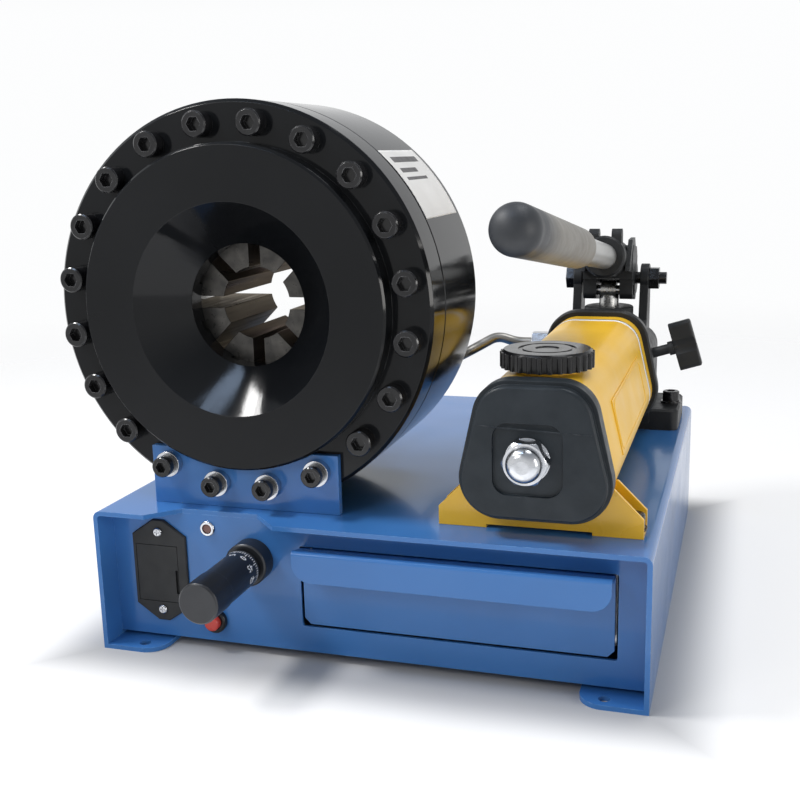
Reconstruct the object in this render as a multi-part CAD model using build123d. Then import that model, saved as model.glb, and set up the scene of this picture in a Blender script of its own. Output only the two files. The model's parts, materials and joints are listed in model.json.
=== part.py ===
"""Bench-top hose crimping machine: a ring-cylinder crimping head on a folded steel base,
fed by a two-speed lever pump, with a tool drawer and a battery-lit diameter gauge."""
from build123d import *
from math import cos, sin, tan, radians, sqrt
import os

# ---------------------------------------------------------------- driving dimensions (mm)
# folded base
base_width = 350.0
base_depth = 375.0
base_height = 94.0
base_sheet = 3.0
base_bend = 5.0
foot_width = 41.0
foot_length = 45.0
foot_corner = 14.0
foot_hole = 7.0
foot_hole_from_side = 26.0
foot_hole_from_end = 8.0
notch_shift = -13.5
notch_width = 88.0
# front and rear panels
panel_sheet = 2.0
panel_setback = 18.0
panel_floor_gap = 5.5
panel_flange = 12.0
rear_setback = 3.0
# drawer
opening_from_gauge = 32.0
opening_side_margin = 20.0
opening_bottom = 22.5
opening_top_margin = 18.5
drawer_gap = 1.8
drawer_sheet = 1.5
drawer_depth = 240.0
drawer_headroom = 9.0
lip_reach = 18.0
lip_rise = 4.5
lip_drop = 20.0
lip_corner = 12.0
runner_sheet = 1.5
runner_ledge = 12.0
# crimping head
head_from_side = 94.0
head_radius = 125.0
head_gap = 2.0
head_setback = 33.0
cover_thickness = 27.0
body_length = 80.0
flange_width = 25.0
boss_height = 13.0
mouth_radius = 65.5
throat_radius = 38.75
bolt_inset = 13.0
bolt_count = 20
cover_bolt_d = 10.0
cover_bolt_head_d = 16.0
cover_bolt_head_h = 10.0
cover_bolt_grip = 16.0
# ring piston and dies
cylinder_wall = 22.0
tail_step = 23.0
tail_wall = 14.0
rear_wall = 26.0
wedge_angle = 25.0
wedge_length = 42.0
piston_travel = 16.0
die_count = 8
die_length = 75.0
die_opening = 23.0
die_slot = 7.6
piston_rim = 23.0
die_back_step = 24.0
key_width = 6.0
key_depth = 5.0
key_from_throat = 5.25
key_from_wedge = 8.0
slide_gap = 0.3
fit_gap = 0.05
seal_width = 6.0
seal_depth = 4.5
# support plate under the head
plate_sheet = 5.0
plate_side_margin = 13.15
plate_top_margin = 10.8
plate_foot = 26.0
spacer_d = 16.6
spacer_h = 5.5
support_bolt_d = 8.0
support_bolt_head_d = 13.0
support_bolt_head_h = 8.0
# gauge, lamp, switch and battery holder on the front panel
gauge_from_holder = 65.5
gauge_from_top = 30.0
gauge_ring_d = 28.0
gauge_ring_h = 12.0
gauge_sleeve_d = 18.0
gauge_thimble_d = 25.0
gauge_thimble_l = 59.0
gauge_end_gap = 3.0
gauge_spindle_d = 6.5
gauge_spindle_l = 24.0
lamp_from_holder = 35.0
lamp_from_top = 12.0
lamp_bezel_d = 10.0
lamp_lens_d = 6.4
switch_from_holder = 37.0
switch_z = 20.0
switch_bezel_d = 16.0
switch_bezel_h = 4.0
switch_cap_d = 10.0
switch_cap_h = 4.0
switch_travel = 2.5
holder_from_side = 36.5
holder_from_top = 43.0
holder_width = 38.5
holder_height = 69.0
holder_shoulder = 24.0
holder_flange = 2.0
holder_depth = 60.0
tray_width = 30.0
tray_height = 39.0
tray_drop = 2.0
tray_shift = -2.0
battery_size = (26.5, 48.5, 17.5)
# pump
pump_from_side = 68.0
tank_clearance = 10.5
tank_height = 82.0
tank_foot_half = 50.2
tank_top_half = 31.7
tank_foot_fillet = 24.0
tank_top_fillet = 22.0
tank_front = 26.0
tank_rear = 273.0
cap_front = 8.0
cap_inset = 1.5
nut_shift = -3.0
nut_z = 142.0
nut_flats = 24.0
tie_rod_d = 12.0
filler_y = 54.0
filler_neck_r = 18.5
filler_cap_r = 27.7
filler_cap_h = 10.8
filler_ribs = 28
bracket_half = 60.35
bracket_front = 27.5
bracket_depth = 21.5
bracket_sheet = 2.5
bracket_knee = 11.5
bracket_shoulder = 28.4
bracket_bolt_offset = 53.5
foot_front = 285.0
foot_rear = 350.0
foot_half = 62.0
foot_height = 16.5
foot_bolt_offset = 54.5
foot_bolt_y = 314.0
head_half = 40.0
head_top = 168.0
pump_bolt_d = 8.0
pump_bolt_head_d = 13.0
pump_bolt_head_h = 8.0
tower_half = 24.0
tower_front = 322.0
tower_rear = 373.0
tower_top = 166.0
gland_y = 345.0
gland_r = 20.0
gland_top = 184.0
piston_r = 8.0
piston_bottom = 112.0
link_sheet = 7.0
pivot_y = 365.0
pivot_z = 205.0
pivot_bolt_d = 10.0
pin_d = 8.0
pin_z = 197.0
handle_tilt = 7.5
handle_offset = 15.3
handle_tube_d = 20.0
handle_tube_wall = 2.0
handle_tube_start = 16.0
handle_tube_end = 402.0
grip_start = 207.0
grip_end = 419.0
grip_d = 27.5
block_half = 20.0
fork_half = 9.5
ear_sheet = 3.5
ear_inset = 0.6
release_y = 305.0
release_z = 152.0
release_tilt = 17.0
# pressure line
port_from_bore = 12.0
port_angle = -45.0
tube_d = 8.0
pump_port_y = 293.0
pump_port_z = 160.0
port_hex = 17.0

# ---------------------------------------------------------------- places worked out from them
front = -base_depth / 2
rear = base_depth / 2
panel_face = front + panel_setback
head_z = base_height + head_gap + head_radius
flange_face = front + head_setback
boss_face = flange_face - boss_height
cover_rear = flange_face + cover_thickness
body_rear = cover_rear + body_length
head_x = -base_width / 2 + head_from_side
pump_x = base_width / 2 - pump_from_side
notch_x = head_x + notch_shift
holder_x = -base_width / 2 + holder_from_side
holder_z = base_height - holder_from_top
lamp_x = holder_x + lamp_from_holder
lamp_z = base_height - lamp_from_top
gauge_x = holder_x + gauge_from_holder
gauge_z = base_height - gauge_from_top
switch_x = holder_x + switch_from_holder
opening_left = gauge_x + opening_from_gauge
opening_right = base_width / 2 - opening_side_margin
opening_top = base_height - opening_top_margin
drawer_wall = opening_top - opening_bottom - drawer_headroom
boss_radius = head_radius - flange_width
bolt_circle = head_radius - bolt_inset
piston_bore = head_radius - cylinder_wall
tail_bore = piston_bore - tail_step
tail_inner = tail_bore - tail_wall
die_front_apothem = piston_bore - piston_rim
die_rear_apothem = die_front_apothem - die_back_step
key_start = throat_radius + key_from_throat
key_end = die_front_apothem - key_from_wedge
port_radius = tail_bore + port_from_bore
wedge = tan(radians(wedge_angle))
die_half_angle = 180.0 / die_count
outer_step = radians(1.5 * 360 / bolt_count)
plate_width = 2 * (bolt_circle * sin(outer_step) + plate_side_margin)
plate_height = head_z - bolt_circle * cos(outer_step) + plate_top_margin - base_height
bottom_bolts = (-1.5, -0.5, 0.5, 1.5)


def from_front(distance):
    """A place along Y measured back from the front edge of the base."""
    return front + distance


# ---------------------------------------------------------------- shape helpers
def box(x0, x1, y0, y1, z0, z1):
    return Pos((x0 + x1) / 2, (y0 + y1) / 2, (z0 + z1) / 2) * Box(x1 - x0, y1 - y0, z1 - z0)


def rod_x(radius, x0, x1, y, z):
    return Pos((x0 + x1) / 2, y, z) * Rot(0, 90, 0) * Cylinder(radius, x1 - x0)


def rod_y(radius, y0, y1, x, z):
    return Pos(x, (y0 + y1) / 2, z) * Rot(90, 0, 0) * Cylinder(radius, y1 - y0)


def rod_z(radius, z0, z1, x, y):
    return Pos(x, y, (z0 + z1) / 2) * Cylinder(radius, z1 - z0)


def polygon(points):
    return make_face(Polyline(*points, close=True))


def prism_x(face, x0, x1):
    """Extrude a (y, z) face from x0 to x1."""
    return extrude(Plane((x0, 0, 0), x_dir=(0, 1, 0), z_dir=(1, 0, 0)) * face, amount=x1 - x0)


def prism_y(face, y0, y1):
    """Extrude an (x, z) face from y0 to y1."""
    return extrude(Plane((0, y1, 0), x_dir=(1, 0, 0), z_dir=(0, -1, 0)) * face, amount=y1 - y0)


def prism_z(face, z0, z1):
    return extrude(Pos(0, 0, z0) * face, amount=z1 - z0)


def turned_y(points, x, z):
    """Turn a (radius, y) outline about a Y axis through x, z."""
    return Pos(x, 0, z) * revolve(polygon(points), axis=Axis.Y)


def turned_z(points, x, y):
    """Turn a (radius, z) outline about a Z axis through x, y."""
    return Pos(x, y, 0) * revolve(Plane.XZ * polygon(points), axis=Axis.Z)


def ring_y(outer, inner, y0, y1, x, z):
    return rod_y(outer, y0, y1, x, z) - rod_y(inner, y0 - 1, y1 + 1, x, z)


def hex_y(flats, y0, y1, x, z):
    return prism_y(Pos(x, z) * RegularPolygon(flats / 2, 6, major_radius=False), y0, y1)


def socket_screw_y(diameter, head_d, head_h, seat, length, x, z):
    """Socket-head screw along +Y: its head stands in front of the seat."""
    head = chamfer(rod_y(head_d / 2, seat - head_h, seat, x, z).edges().sort_by(Axis.Y)[0], head_d / 20)
    recess = hex_y(head_d / 2, seat - head_h - 1, seat - head_h / 2, x, z)
    return head + rod_y(diameter / 2, seat, seat + length, x, z) - recess


def socket_screw_z(diameter, head_d, head_h, seat, length, x, y):
    """Socket-head screw along -Z: its head stands above the seat."""
    head = chamfer(rod_z(head_d / 2, seat, seat + head_h, x, y).edges().sort_by(Axis.Z)[-1], head_d / 20)
    recess = prism_z(Pos(x, y) * RegularPolygon(head_d / 4, 6, major_radius=False),
                     seat + head_h / 2, seat + head_h + 1)
    return head + rod_z(diameter / 2, seat - length, seat, x, y) - recess


def on_bolt_circle(step):
    """x, z of the cover bolt that lies step pitches round from straight down."""
    angle = radians(270 + step * 360 / bolt_count)
    return head_x + bolt_circle * cos(angle), head_z + bolt_circle * sin(angle)


parts = {}

# ---------------------------------------------------------------- folded base


def make_base_wrap():
    half = base_width / 2
    outer = fillet(box(-half, half, front, rear, 0, base_height).edges().filter_by(Axis.Y)
                   .group_by(Axis.Z)[-1], base_bend)
    inner = fillet(box(-half + base_sheet, half - base_sheet, front - 1, rear + 1, -1,
                       base_height - base_sheet).edges().filter_by(Axis.Y)
                   .group_by(Axis.Z)[-1], base_bend - base_sheet)
    shell = outer - inner
    for sx in (-1, 1):
        for end, sy in ((front, 1), (rear, -1)):
            x_in, x_out = sorted((sx * (half - foot_width), sx * (half - base_sheet)))
            y_in, y_out = sorted((end, end + sy * foot_length))
            foot = box(x_in, x_out, y_in, y_out, 0, base_sheet)
            free_edges = foot.edges().filter_by(Axis.Z).group_by(Axis.X)[0 if sx > 0 else -1]
            foot = fillet(free_edges, foot_corner)
            hole = rod_z(foot_hole / 2, -1, base_sheet + 1, sx * (half - foot_hole_from_side),
                         end + sy * foot_hole_from_end)
            shell = shell + foot - hole
    notch = polygon([(notch_x - notch_width / 2, front), (notch_x + notch_width / 2, front),
                     (notch_x + notch_width / 2 - panel_setback, panel_face),
                     (notch_x - notch_width / 2 + panel_setback, panel_face)])
    shell -= prism_z(notch, base_height - base_sheet - 1, base_height + 1)
    for offset in (-bracket_bolt_offset, bracket_bolt_offset):
        shell -= rod_z(pump_bolt_d / 2, base_height - base_sheet - 1, base_height + 1, pump_x + offset,
                       from_front(bracket_front + bracket_depth / 2))
    for offset in (-foot_bolt_offset, foot_bolt_offset):
        shell -= rod_z(pump_bolt_d / 2, base_height - base_sheet - 1, base_height + 1, pump_x + offset,
                       from_front(foot_bolt_y))
    return shell


def holder_outline(grow=0.0):
    half_w, half_h = holder_width / 2 + grow, holder_height / 2 + grow
    point = 4.0
    return polygon([(holder_x - half_w, holder_z - holder_shoulder), (holder_x - point, holder_z - half_h),
                    (holder_x + point, holder_z - half_h), (holder_x + half_w, holder_z - holder_shoulder),
                    (holder_x + half_w, holder_z + holder_shoulder), (holder_x + point, holder_z + half_h),
                    (holder_x - point, holder_z + half_h), (holder_x - half_w, holder_z + holder_shoulder)])


holder_screw_z = holder_height / 2 - 8.0
holder_cut = (holder_width - 2.0, 2 * holder_shoulder - 1.0)
inner_half = base_width / 2 - base_sheet
panel_top = base_height - base_sheet


def panel_sheet_between(y0, y1):
    """Flat sheet that fills the folded base, its top corners rounded to the bend."""
    sheet = box(-inner_half, inner_half, y0, y1, panel_floor_gap, panel_top)
    return fillet(sheet.edges().filter_by(Axis.Y).group_by(Axis.Z)[-1], base_bend - base_sheet)


def make_front_panel():
    back = panel_face + panel_sheet
    panel = panel_sheet_between(panel_face, back)
    panel += box(-inner_half + 4, inner_half - 4, panel_face, panel_face + panel_flange,
                 panel_top - panel_sheet, panel_top)
    panel += box(-inner_half + 4, inner_half - 4, panel_face, panel_face + panel_flange,
                 panel_floor_gap, panel_floor_gap + panel_sheet)
    cut = box(opening_left, opening_right, panel_face - 1, back + 1, opening_bottom, opening_top)
    panel -= fillet(cut.edges().filter_by(Axis.Y), 1.5)
    panel -= box(holder_x - holder_cut[0] / 2, holder_x + holder_cut[0] / 2, panel_face - 1, back + 1,
                 holder_z - holder_cut[1] / 2, holder_z + holder_cut[1] / 2)
    for dz in (-holder_screw_z, holder_screw_z):
        panel -= rod_y(1.5, panel_face - 1, back + 1, holder_x, holder_z + dz)
    panel -= rod_y(lamp_bezel_d / 2 - 1, panel_face - 1, back + 1, lamp_x, lamp_z)
    panel -= rod_y(gauge_sleeve_d / 2, panel_face - 1, back + 1, gauge_x, gauge_z)
    panel -= rod_y(switch_bezel_d / 2 - 2, panel_face - 1, back + 1, switch_x, switch_z)
    return panel


def make_rear_panel():
    back = rear - rear_setback
    panel = panel_sheet_between(back - panel_sheet, back)
    panel += box(-inner_half + 4, inner_half - 4, back - panel_flange, back, panel_top - panel_sheet,
                 panel_top)
    return panel


parts["base_wrap"] = make_base_wrap()
parts["front_panel"] = make_front_panel()
parts["rear_panel"] = make_rear_panel()

# ---------------------------------------------------------------- drawer
face_left = opening_left + drawer_gap
face_right = opening_right - drawer_gap
face_bottom = opening_bottom + drawer_gap
face_top = opening_top - 1.0
tray_left = face_left + 2.0
tray_right = face_right - 2.0
tray_front = panel_face + drawer_sheet
tray_floor = face_bottom + 3.0
tray_rear = tray_front + drawer_depth


def make_drawer_front():
    lip_front = panel_face - lip_reach
    t = drawer_sheet
    profile = polygon([(panel_face + t, face_bottom), (panel_face + t, face_top),
                       (lip_front, face_top + lip_rise), (lip_front, face_top + lip_rise - lip_drop),
                       (lip_front + t, face_top + lip_rise - lip_drop),
                       (lip_front + t, face_top + lip_rise - t - 0.4), (panel_face, face_top - t),
                       (panel_face, face_bottom)])
    sheet = prism_x(profile, face_left, face_right)
    bends = sheet.edges().filter_by(Axis.X)
    outer_bends = [e for e in bends if e.center().Z > face_top - t / 2 and e.center().Y < panel_face + t + 0.1]
    sheet = fillet([e for e in outer_bends if e.center().Y < lip_front + t / 2], 2.5)
    low = face_top + lip_rise - lip_drop
    for x, sx in ((face_left, 1), (face_right, -1)):
        corner = box(min(x, x + sx * lip_corner), max(x, x + sx * lip_corner), lip_front - 1,
                     lip_front + t + 0.5, low - 1, low + lip_corner)
        corner -= rod_y(lip_corner, lip_front - 2, lip_front + t + 2, x + sx * lip_corner, low + lip_corner)
        sheet -= corner
        chip = polygon([(x, face_bottom), (x + sx * 4, face_bottom), (x, face_bottom + 4)])
        sheet -= prism_y(chip, panel_face - 1, panel_face + t + 1)
    return sheet


def make_drawer_tray():
    t = drawer_sheet
    tray = box(tray_left, tray_right, tray_front, tray_rear, tray_floor, tray_floor + drawer_wall)
    tray = fillet(tray.edges().filter_by(Axis.Y).group_by(Axis.Z)[0], 2.5)
    return tray - box(tray_left + t, tray_right - t, tray_front + t, tray_rear - t, tray_floor + t,
                      tray_floor + drawer_wall + 1)


def make_drawer_runners():
    t = runner_sheet
    runner_front = panel_face + panel_flange + 1
    rails = []
    for edge, sx in ((tray_left, -1), (tray_right, 1)):
        web = edge + sx * slide_gap
        x0, x1 = sorted((web, web + sx * t))
        ledge0, ledge1 = sorted((web + sx * t, web - sx * runner_ledge))
        flange0, flange1 = sorted((web, web + sx * runner_ledge))
        low = tray_floor - slide_gap - t
        rail = box(x0, x1, runner_front, tray_rear + 10, low, panel_top)
        rail += box(ledge0, ledge1, runner_front, tray_rear + 10, low, low + t)
        rail += box(flange0, flange1, runner_front, tray_rear + 10, panel_top - t, panel_top)
        rail -= rod_z(pump_bolt_d / 2 + 1, panel_top - t - 1, panel_top + 1, pump_x + bracket_bolt_offset,
                      from_front(bracket_front + bracket_depth / 2))
        rails.append(rail)
    return Compound(children=rails)


parts["drawer_front"] = make_drawer_front()
parts["drawer_tray"] = make_drawer_tray()
parts["drawer_runners"] = make_drawer_runners()

# ---------------------------------------------------------------- crimping head


def die_angle(index):
    """Direction of a die, or of its guide groove, in degrees from +X towards +Z."""
    return (index + 0.5) * 360 / die_count


def radial(shape, angle):
    """Place a shape drawn along +X from the head's axis at an angle round that axis."""
    return Pos(head_x, 0, head_z) * Rot(0, -angle, 0) * shape


def make_front_cover():
    throat_depth = mouth_radius - throat_radius
    cover = turned_y([(throat_radius, cover_rear), (head_radius - 1, cover_rear),
                      (head_radius, cover_rear - 1), (head_radius, flange_face + 2),
                      (head_radius - 2, flange_face), (boss_radius, flange_face),
                      (boss_radius, boss_face + 1.5), (boss_radius - 1.5, boss_face),
                      (mouth_radius, boss_face), (throat_radius, boss_face + throat_depth)],
                     head_x, head_z)
    for step in range(bolt_count):
        x, z = on_bolt_circle(step + 0.5)
        radius = support_bolt_d if step in (0, 1, bolt_count - 1, bolt_count - 2) else cover_bolt_d
        cover -= rod_y(radius / 2 + 0.25, flange_face - 1, cover_rear + 1, x, z)
    for index in range(die_count):
        groove = box(throat_radius - 1, key_end + 1, cover_rear - key_depth, cover_rear + 1,
                     -key_width / 2 - fit_gap * 2, key_width / 2 + fit_gap * 2)
        cover -= radial(groove, die_angle(index))
    return cover


def make_cylinder_body():
    wall_face = body_rear - rear_wall
    body = turned_y([(piston_bore, cover_rear), (head_radius - 1, cover_rear), (head_radius, cover_rear + 1),
                     (head_radius, body_rear - 3), (head_radius - 3, body_rear), (tail_bore, body_rear),
                     (tail_bore, wall_face), (piston_bore, wall_face)], head_x, head_z)
    for step in range(bolt_count):
        x, z = on_bolt_circle(step + 0.5)
        radius = support_bolt_d if step in (0, 1, bolt_count - 1, bolt_count - 2) else cover_bolt_d
        body -= rod_y(radius / 2, cover_rear - 1, cover_rear + cover_bolt_grip + 2, x, z)
    body -= ring_y(tail_bore + seal_depth, tail_bore - 1, wall_face + 4, wall_face + 4 + seal_width,
                   head_x, head_z)
    body -= rod_y(5.0, wall_face - 1, body_rear + 1, port_x, port_z)
    body -= rod_y(tube_d / 2 + 2.5, body_rear - 12, body_rear + 1, port_x, port_z)
    return body


port_x = head_x + port_radius * cos(radians(port_angle))
port_z = head_z + port_radius * sin(radians(port_angle))
piston_front = cover_rear + piston_travel + 2.0
wall_face = body_rear - rear_wall


def octagon_cone(apothem_front, y0, y1, slope):
    """Eight-sided cavity whose flats close in by slope from y0 to y1."""
    start = RegularPolygon(apothem_front, die_count, major_radius=False)
    end = RegularPolygon(apothem_front - slope * (y1 - y0), die_count, major_radius=False)
    plane0 = Plane((head_x, y0, head_z), x_dir=(1, 0, 0), z_dir=(0, -1, 0))
    plane1 = Plane((head_x, y1, head_z), x_dir=(1, 0, 0), z_dir=(0, -1, 0))
    return loft([plane0 * start, plane1 * end])


def make_ring_piston():
    piston = ring_y(piston_bore - fit_gap, tail_inner, piston_front, wall_face - slide_gap, head_x, head_z)
    piston += ring_y(tail_bore - fit_gap, tail_inner, wall_face - slide_gap - 1, body_rear, head_x, head_z)
    lead = piston_front - cover_rear
    clearance = slide_gap / 2
    apothem = die_front_apothem - lead * wedge + clearance
    piston -= octagon_cone(apothem + wedge, piston_front - 1, cover_rear + wedge_length, wedge)
    piston -= ring_y(piston_bore + 1, piston_bore - seal_depth, wall_face - 14, wall_face - 14 + seal_width,
                     head_x, head_z)
    return piston


def make_die(index):
    """One wedge-backed die, drawn along +X and turned to its place."""
    y0 = cover_rear + slide_gap
    y1 = y0 + die_length
    half = radians(die_half_angle)
    top = die_front_apothem
    start = die_slot / 2 / sin(half)
    side = (top - start) * tan(half)
    wedge_face = polygon([(start, 0), (top, side), (top, -side)])
    die = prism_y(wedge_face, y0, y1)
    die -= rod_y(die_opening, y0 - 1, y1 + 1, 0, 0)
    end = top - wedge * wedge_length
    relief = polygon([(top + 20, y0 - slide_gap - 20 / wedge), (top + 20, y1 + 1), (die_rear_apothem, y1 + 1),
                      (die_rear_apothem, y0 + wedge_length - slide_gap), (end, y0 + wedge_length - slide_gap)])
    die -= extrude(Pos(0, 0, -60) * relief, amount=120)
    die += box(key_start, key_end, cover_rear - key_depth + slide_gap, y0 + 0.5, -key_width / 2, key_width / 2)
    return radial(die, die_angle(index))


def make_bolts():
    bolts = []
    for step in range(2, bolt_count - 2):
        x, z = on_bolt_circle(step + 0.5)
        bolts.append(socket_screw_y(cover_bolt_d, cover_bolt_head_d, cover_bolt_head_h, flange_face,
                                    cover_thickness + cover_bolt_grip, x, z))
    return Compound(children=bolts)


parts["front_cover"] = make_front_cover()
parts["cylinder_body"] = make_cylinder_body()
parts["ring_piston"] = make_ring_piston()
parts["piston_seal"] = ring_y(piston_bore - 2 * fit_gap, piston_bore - seal_depth, wall_face - 14,
                              wall_face - 14 + seal_width, head_x, head_z)
parts["rod_seal"] = ring_y(tail_bore + seal_depth, tail_bore + fit_gap, wall_face + 4,
                           wall_face + 4 + seal_width, head_x, head_z)
for index in range(die_count):
    parts[f"master_die_{index + 1}"] = make_die(index)
parts["cover_bolts"] = make_bolts()

# ---------------------------------------------------------------- support plate under the head


def make_support_plate():
    low = base_height
    x0, x1 = head_x - plate_width / 2, head_x + plate_width / 2
    plate = box(x0, x1, flange_face - plate_sheet, flange_face, low, low + plate_height)
    plate -= rod_y(boss_radius + 0.5, flange_face - plate_sheet - 1, flange_face + 1, head_x, head_z)
    plate += box(x0, x1, flange_face - plate_sheet, flange_face - plate_sheet + 2, low, low + 1)
    for step in bottom_bolts:
        x, z = on_bolt_circle(step)
        plate -= rod_y(support_bolt_d / 2 + 0.25, flange_face - plate_sheet - 1, flange_face + 1, x, z)
    return plate


spacer_seat = flange_face - plate_sheet
support_spacers, support_bolts = [], []
for step in bottom_bolts:
    x, z = on_bolt_circle(step)
    spacer = ring_y(spacer_d / 2, support_bolt_d / 2 + 0.25, spacer_seat - spacer_h, spacer_seat, x, z)
    support_spacers.append(spacer)
    support_bolts.append(socket_screw_y(support_bolt_d, support_bolt_head_d, support_bolt_head_h,
                                        spacer_seat - spacer_h,
                                        spacer_h + plate_sheet + cover_thickness + cover_bolt_grip, x, z))
parts["support_plate"] = make_support_plate()
parts["support_spacers"] = Compound(children=support_spacers)
parts["support_bolts"] = Compound(children=support_bolts)

# ---------------------------------------------------------------- battery holder
tray_x = holder_x + tray_shift
tray_z = holder_z - tray_drop
holder_front = panel_face - holder_flange
box_half_w = holder_cut[0] / 2 - 0.5
box_half_h = holder_cut[1] / 2 - 0.5


def make_battery_housing():
    flange = chamfer(prism_y(holder_outline(), holder_front, panel_face).faces().sort_by(Axis.Y)[0].edges(), 0.7)
    shell = box(holder_x - box_half_w, holder_x + box_half_w, panel_face, panel_face + holder_depth,
                holder_z - box_half_h, holder_z + box_half_h)
    body = flange + shell
    body -= box(tray_x - tray_width / 2, tray_x + tray_width / 2, holder_front - 1,
                panel_face + holder_depth - 2, tray_z - tray_height / 2, tray_z + tray_height / 2)
    for dz in (-holder_screw_z, holder_screw_z):
        body -= rod_y(1.5, holder_front - 1, panel_face + 1, holder_x, holder_z + dz)
    return body


def make_battery_tray():
    gap = slide_gap
    x0, x1 = tray_x - tray_width / 2 + gap, tray_x + tray_width / 2 - gap
    z0, z1 = tray_z - tray_height / 2 + gap, tray_z + tray_height / 2 - gap
    tray_back = panel_face + holder_depth - 4
    body = box(x0, x1, holder_front, tray_back, z0, z1)
    body -= box(x0 + 1.2, x1 - 1.2, holder_front + 3, tray_back - 1.2, z0 + 1.2, z1 + 1)
    body += box(x0, x1, holder_front, holder_front + 3, z0, z1)
    body -= box(x1 - 2.0, x1 + 1, holder_front - 1, holder_front + 2.0, z0 + 6, z0 + 22)
    return body


def make_battery():
    width, length, height = battery_size
    y0 = holder_front + 4.5
    z0 = tray_z - tray_height / 2 + slide_gap + 1.2
    cell = box(tray_x - width / 2, tray_x + width / 2, y0, y0 + length, z0, z0 + height)
    cell = fillet(cell.edges().filter_by(Axis.Y), 2.0)
    for dx in (-6.0, 6.0):
        cell += rod_y(2.8, y0 + length, y0 + length + 2.5, tray_x + dx, z0 + height / 2)
    return cell


def make_battery_screws():
    screws = []
    for dz in (-holder_screw_z, holder_screw_z):
        z = holder_z + dz
        head = rod_y(3.0, holder_front - 1.6, holder_front, holder_x, z)
        head = chamfer(head.edges().sort_by(Axis.Y)[0], 0.7)
        head += rod_y(1.5, holder_front, panel_face + panel_sheet + 4, holder_x, z)
        head -= box(holder_x - 1.8, holder_x + 1.8, holder_front - 2, holder_front - 0.9, z - 0.35, z + 0.35)
        head -= box(holder_x - 0.35, holder_x + 0.35, holder_front - 2, holder_front - 0.9, z - 1.8, z + 1.8)
        screws.append(head)
    return Compound(children=screws)


parts["battery_housing"] = make_battery_housing()
parts["battery_tray"] = make_battery_tray()
parts["battery"] = make_battery()
parts["battery_screws"] = make_battery_screws()

# ---------------------------------------------------------------- lamp, gauge and switch
panel_back = panel_face + panel_sheet
parts["indicator_bezel"] = (
    turned_y([(lamp_lens_d / 2, panel_face - 1.5), (lamp_bezel_d / 2 - 0.6, panel_face - 1.5),
              (lamp_bezel_d / 2, panel_face - 0.9), (lamp_bezel_d / 2, panel_face),
              (lamp_bezel_d / 2 - 1, panel_face), (lamp_bezel_d / 2 - 1, panel_back + 12),
              (lamp_lens_d / 2, panel_back + 12)], lamp_x, lamp_z))
lens = rod_y(lamp_lens_d / 2, panel_face - 1.0, panel_back + 10, lamp_x, lamp_z)
parts["indicator_lens"] = fillet(lens.edges().sort_by(Axis.Y)[0], 0.8)

ring_front = panel_face - gauge_ring_h
thimble_rear = ring_front - gauge_end_gap
thimble_front = thimble_rear - gauge_thimble_l
sleeve_front = thimble_rear - gauge_thimble_l * 0.6
parts["micrometer_sleeve"] = turned_y(
    [(gauge_spindle_d / 2 + fit_gap, sleeve_front), (gauge_sleeve_d / 2, sleeve_front),
     (gauge_sleeve_d / 2, ring_front), (gauge_ring_d / 2 - 1, ring_front), (gauge_ring_d / 2, ring_front + 1),
     (gauge_ring_d / 2, panel_face), (gauge_sleeve_d / 2, panel_face), (gauge_sleeve_d / 2, panel_back + 8),
     (gauge_spindle_d / 2 + fit_gap, panel_back + 8)], gauge_x, gauge_z)
spindle_front = thimble_front + 8.0
parts["micrometer_thimble"] = turned_y(
    [(0, thimble_front), (gauge_thimble_d / 2 - 1, thimble_front), (gauge_thimble_d / 2, thimble_front + 1),
     (gauge_thimble_d / 2, thimble_front + 20), (gauge_thimble_d / 2 - 0.5, thimble_front + 20.5),
     (gauge_thimble_d / 2 - 0.5, thimble_rear - 3), (gauge_thimble_d / 2 - 1.3, thimble_rear),
     (gauge_sleeve_d / 2 + fit_gap * 2, thimble_rear), (gauge_sleeve_d / 2 + fit_gap * 2, sleeve_front - 4),
     (gauge_spindle_d / 2 + fit_gap, sleeve_front - 4), (gauge_spindle_d / 2 + fit_gap, spindle_front),
     (0, spindle_front)], gauge_x, gauge_z)
parts["micrometer_spindle"] = rod_y(gauge_spindle_d / 2, spindle_front + slide_gap,
                                    panel_back + 8 + gauge_spindle_l, gauge_x, gauge_z)

bezel_front = panel_face - switch_bezel_h
cap_hole = switch_cap_d / 2 + slide_gap
parts["switch_body"] = turned_y(
    [(0, panel_back + 14), (switch_bezel_d / 2 - 2, panel_back + 14), (switch_bezel_d / 2 - 2, panel_face),
     (switch_bezel_d / 2, panel_face), (switch_bezel_d / 2, bezel_front + 1),
     (switch_bezel_d / 2 - 1, bezel_front), (cap_hole, bezel_front), (cap_hole, panel_face + 2),
     (0, panel_face + 2)], switch_x, switch_z)
switch_cap = rod_y(switch_cap_d / 2, bezel_front - switch_cap_h, panel_face + 2 - switch_travel - slide_gap,
                   switch_x, switch_z)
parts["switch_cap"] = fillet(switch_cap.edges().sort_by(Axis.Y)[0], 1.5)

# ---------------------------------------------------------------- pump reservoir
tank_bottom = base_height + tank_clearance
tank_top = tank_bottom + tank_height
tank_y0 = from_front(tank_front)
tank_y1 = from_front(tank_rear)


def tank_profile(inset, bottom=None):
    """Rounded trapezoid of the reservoir, in (x, z)."""
    low = tank_bottom + inset
    face = polygon([(pump_x - tank_foot_half + inset, low), (pump_x + tank_foot_half - inset, low),
                    (pump_x + tank_top_half - inset, tank_top - inset),
                    (pump_x - tank_top_half + inset, tank_top - inset)])
    foot = face.vertices().group_by(Axis.Y)[0]
    face = fillet(foot, tank_foot_fillet - inset)
    top = face.vertices().filter_by(lambda v: v.Y > tank_top - inset - 0.01)
    return fillet(top, tank_top_fillet - inset)


neck_top = tank_top + 0.2
filler_place = (pump_x, from_front(filler_y))
nut_x = pump_x + nut_shift


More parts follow.
